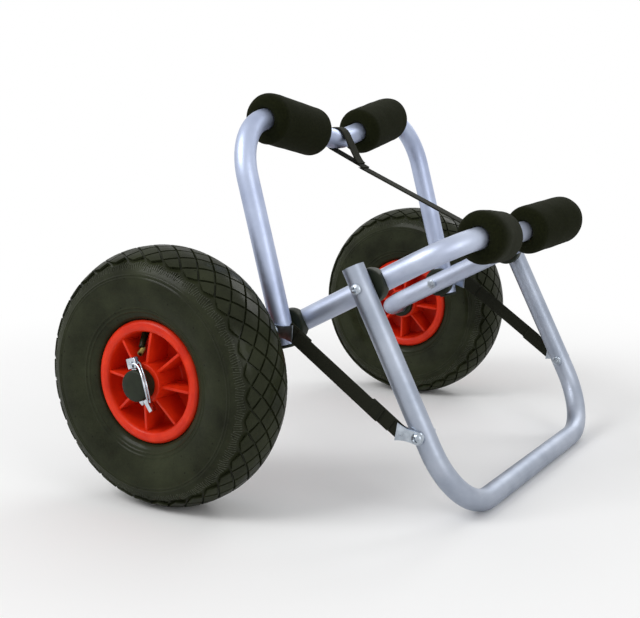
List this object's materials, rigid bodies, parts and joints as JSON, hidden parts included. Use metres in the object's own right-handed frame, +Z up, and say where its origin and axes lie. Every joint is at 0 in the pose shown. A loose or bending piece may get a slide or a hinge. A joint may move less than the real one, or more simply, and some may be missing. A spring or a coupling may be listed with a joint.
{
  "type": "folding two-wheel paddleboard cart",
  "caption": "Folding aluminium cart with padded bars, pneumatic wheels on red rims and a kickstand, for carrying a paddleboard over land.",
  "frame": {"origin": "middle of the whole cart's footprint on the ground, in its standing pose", "axes": "+X towards the kickstand's foot, +Y along the axle to the left wheel, +Z up"},
  "size_m": [0.4228, 0.649, 0.4077],
  "materials": {
    "satin_aluminium": "satin",
    "bright_steel": "polished",
    "black_plastic": "matte",
    "black_foam": "matte",
    "tyre_rubber": "matte",
    "red_plastic": "semi-gloss",
    "black_webbing": "woven",
    "valve_brass": "satin"
  },
  "bodies": {
    "cart_frame": {"wheel_frame_tube": "satin_aluminium", "front_pad_left": "black_foam", "back_spacer_left": "black_plastic", "stand_spacer_left": "black_plastic", "back_bolt_left": "bright_steel", "stand_bolt_left": "bright_steel", "back_nut_left": "bright_steel", "stand_nut_left": "bright_steel", "axle_collar_left": "black_plastic", "axle_cap_left": "black_plastic", "lock_pin_left": "bright_steel", "front_pad_right": "black_foam", "back_spacer_right": "black_plastic", "stand_spacer_right": "black_plastic", "back_bolt_right": "bright_steel", "stand_bolt_right": "bright_steel", "back_nut_right": "bright_steel", "stand_nut_right": "bright_steel", "axle_collar_right": "black_plastic", "axle_cap_right": "black_plastic", "lock_pin_right": "bright_steel"},
    "back_frame": {"back_frame_tube": "satin_aluminium", "back_pad_left": "black_foam", "back_foot_cap_left": "black_plastic", "back_pad_right": "black_foam", "back_foot_cap_right": "black_plastic"},
    "kickstand": {"kickstand_tube": "satin_aluminium", "stand_plug_left": "black_plastic", "strap_bolt_left": "bright_steel", "strap_nut_left": "bright_steel", "stand_plug_right": "black_plastic", "strap_bolt_right": "bright_steel", "strap_nut_right": "bright_steel"},
    "left_wheel": {"tyre_left": "tyre_rubber", "rim_left": "red_plastic", "valve_left": "valve_brass"},
    "left_bail": {"pin_bail_left": "bright_steel"},
    "left_strap_upper_end": {"strap_bracket_upper_left": "bright_steel", "strap_tab_upper_left": "black_webbing"},
    "left_strap_middle": {"strap_web_left": "black_webbing"},
    "left_strap_lower_end": {"strap_bracket_lower_left": "bright_steel", "strap_tab_lower_left": "black_webbing"},
    "right_wheel": {"tyre_right": "tyre_rubber", "rim_right": "red_plastic", "valve_right": "valve_brass"},
    "right_bail": {"pin_bail_right": "bright_steel"},
    "right_strap_upper_end": {"strap_bracket_upper_right": "bright_steel", "strap_tab_upper_right": "black_webbing"},
    "right_strap_middle": {"strap_web_right": "black_webbing"},
    "right_strap_lower_end": {"strap_bracket_lower_right": "bright_steel", "strap_tab_lower_right": "black_webbing"},
    "top_strap_front_end": {"top_strap_front": "black_webbing"},
    "top_strap_middle": {"top_strap_web": "black_webbing"},
    "top_strap_rear_end": {"top_strap_rear": "black_webbing"}
  },
  "joints": [
    {"name": "left_wheel_spin", "type": "hinge", "parent": "cart_frame", "child": "left_wheel", "pos_m": [-0.0812, 0.274, 0.13], "axis": [0, 1, 0], "continuous": true},
    {"name": "right_wheel_spin", "type": "hinge", "parent": "cart_frame", "child": "right_wheel", "pos_m": [-0.0812, -0.274, 0.13], "axis": [0, 1, 0], "continuous": true},
    {"name": "back_frame_fold", "type": "hinge", "parent": "cart_frame", "child": "back_frame", "pos_m": [0.00307, 0, 0.17387], "axis": [0, 1, 0], "range_deg": [0, 52]},
    {"name": "kickstand_fold", "type": "hinge", "parent": "cart_frame", "child": "kickstand", "pos_m": [0.09443, 0, 0.22143], "axis": [0, 1, 0], "range_deg": [0, 68]},
    {"name": "left_bail_swing", "type": "hinge", "parent": "cart_frame", "child": "left_bail", "pos_m": [-0.08689, 0.317, 0.15125], "axis": [0, 1, 0], "range_deg": [-100, 0]},
    {"name": "right_bail_swing", "type": "hinge", "parent": "cart_frame", "child": "right_bail", "pos_m": [-0.08689, -0.317, 0.15125], "axis": [0, 1, 0], "range_deg": [-100, 0]},
    {"name": "left_strap_upper_turn", "type": "hinge", "parent": "cart_frame", "child": "left_strap_upper_end", "pos_m": [0.00307, 0.2086, 0.17387], "axis": [0, 1, 0], "range_deg": [-95.5, 0]},
    {"name": "left_strap_middle_bend", "type": "hinge", "parent": "left_strap_upper_end", "child": "left_strap_middle", "pos_m": [0.03584, 0.2118, 0.166], "axis": [0, 1, 0], "range_deg": [0, 131.4]},
    {"name": "left_strap_lower_turn", "type": "hinge", "parent": "kickstand", "child": "left_strap_lower_end", "pos_m": [0.16223, 0.2086, 0.08662], "axis": [0, 1, 0], "range_deg": [0, 86]},
    {"name": "right_strap_upper_turn", "type": "hinge", "parent": "cart_frame", "child": "right_strap_upper_end", "pos_m": [0.00307, -0.2086, 0.17387], "axis": [0, 1, 0], "range_deg": [-95.5, 0]},
    {"name": "right_strap_middle_bend", "type": "hinge", "parent": "right_strap_upper_end", "child": "right_strap_middle", "pos_m": [0.03584, -0.2118, 0.166], "axis": [0, 1, 0], "range_deg": [0, 131.4]},
    {"name": "right_strap_lower_turn", "type": "hinge", "parent": "kickstand", "child": "right_strap_lower_end", "pos_m": [0.16223, -0.2086, 0.08662], "axis": [0, 1, 0], "range_deg": [0, 86]},
    {"name": "top_strap_front_turn", "type": "hinge", "parent": "cart_frame", "child": "top_strap_front_end", "pos_m": [0.16338, 0, 0.25732], "axis": [0, 1, 0], "range_deg": [-101.7, 0]},
    {"name": "top_strap_middle_bend", "type": "hinge", "parent": "top_strap_front_end", "child": "top_strap_middle", "pos_m": [0.11849, 0, 0.26711], "axis": [0, 1, 0], "range_deg": [0, 129.9]},
    {"name": "top_strap_rear_turn", "type": "hinge", "parent": "back_frame", "child": "top_strap_rear_end", "pos_m": [-0.04582, 0, 0.3589], "axis": [0, 1, 0], "range_deg": [0, 88.4]}
  ],
  "couplings": [
    {"joint": "left_strap_upper_turn", "follows": "kickstand_fold", "ratio": -1.39},
    {"joint": "left_strap_middle_bend", "follows": "kickstand_fold", "ratio": 1.917},
    {"joint": "left_strap_lower_turn", "follows": "kickstand_fold", "ratio": 1.25},
    {"joint": "right_strap_upper_turn", "follows": "kickstand_fold", "ratio": -1.39},
    {"joint": "right_strap_middle_bend", "follows": "kickstand_fold", "ratio": 1.917},
    {"joint": "right_strap_lower_turn", "follows": "kickstand_fold", "ratio": 1.25},
    {"joint": "top_strap_front_turn", "follows": "back_frame_fold", "ratio": -1.937},
    {"joint": "top_strap_middle_bend", "follows": "back_frame_fold", "ratio": 2.478},
    {"joint": "top_strap_rear_turn", "follows": "back_frame_fold", "ratio": 1.68}
  ]
}
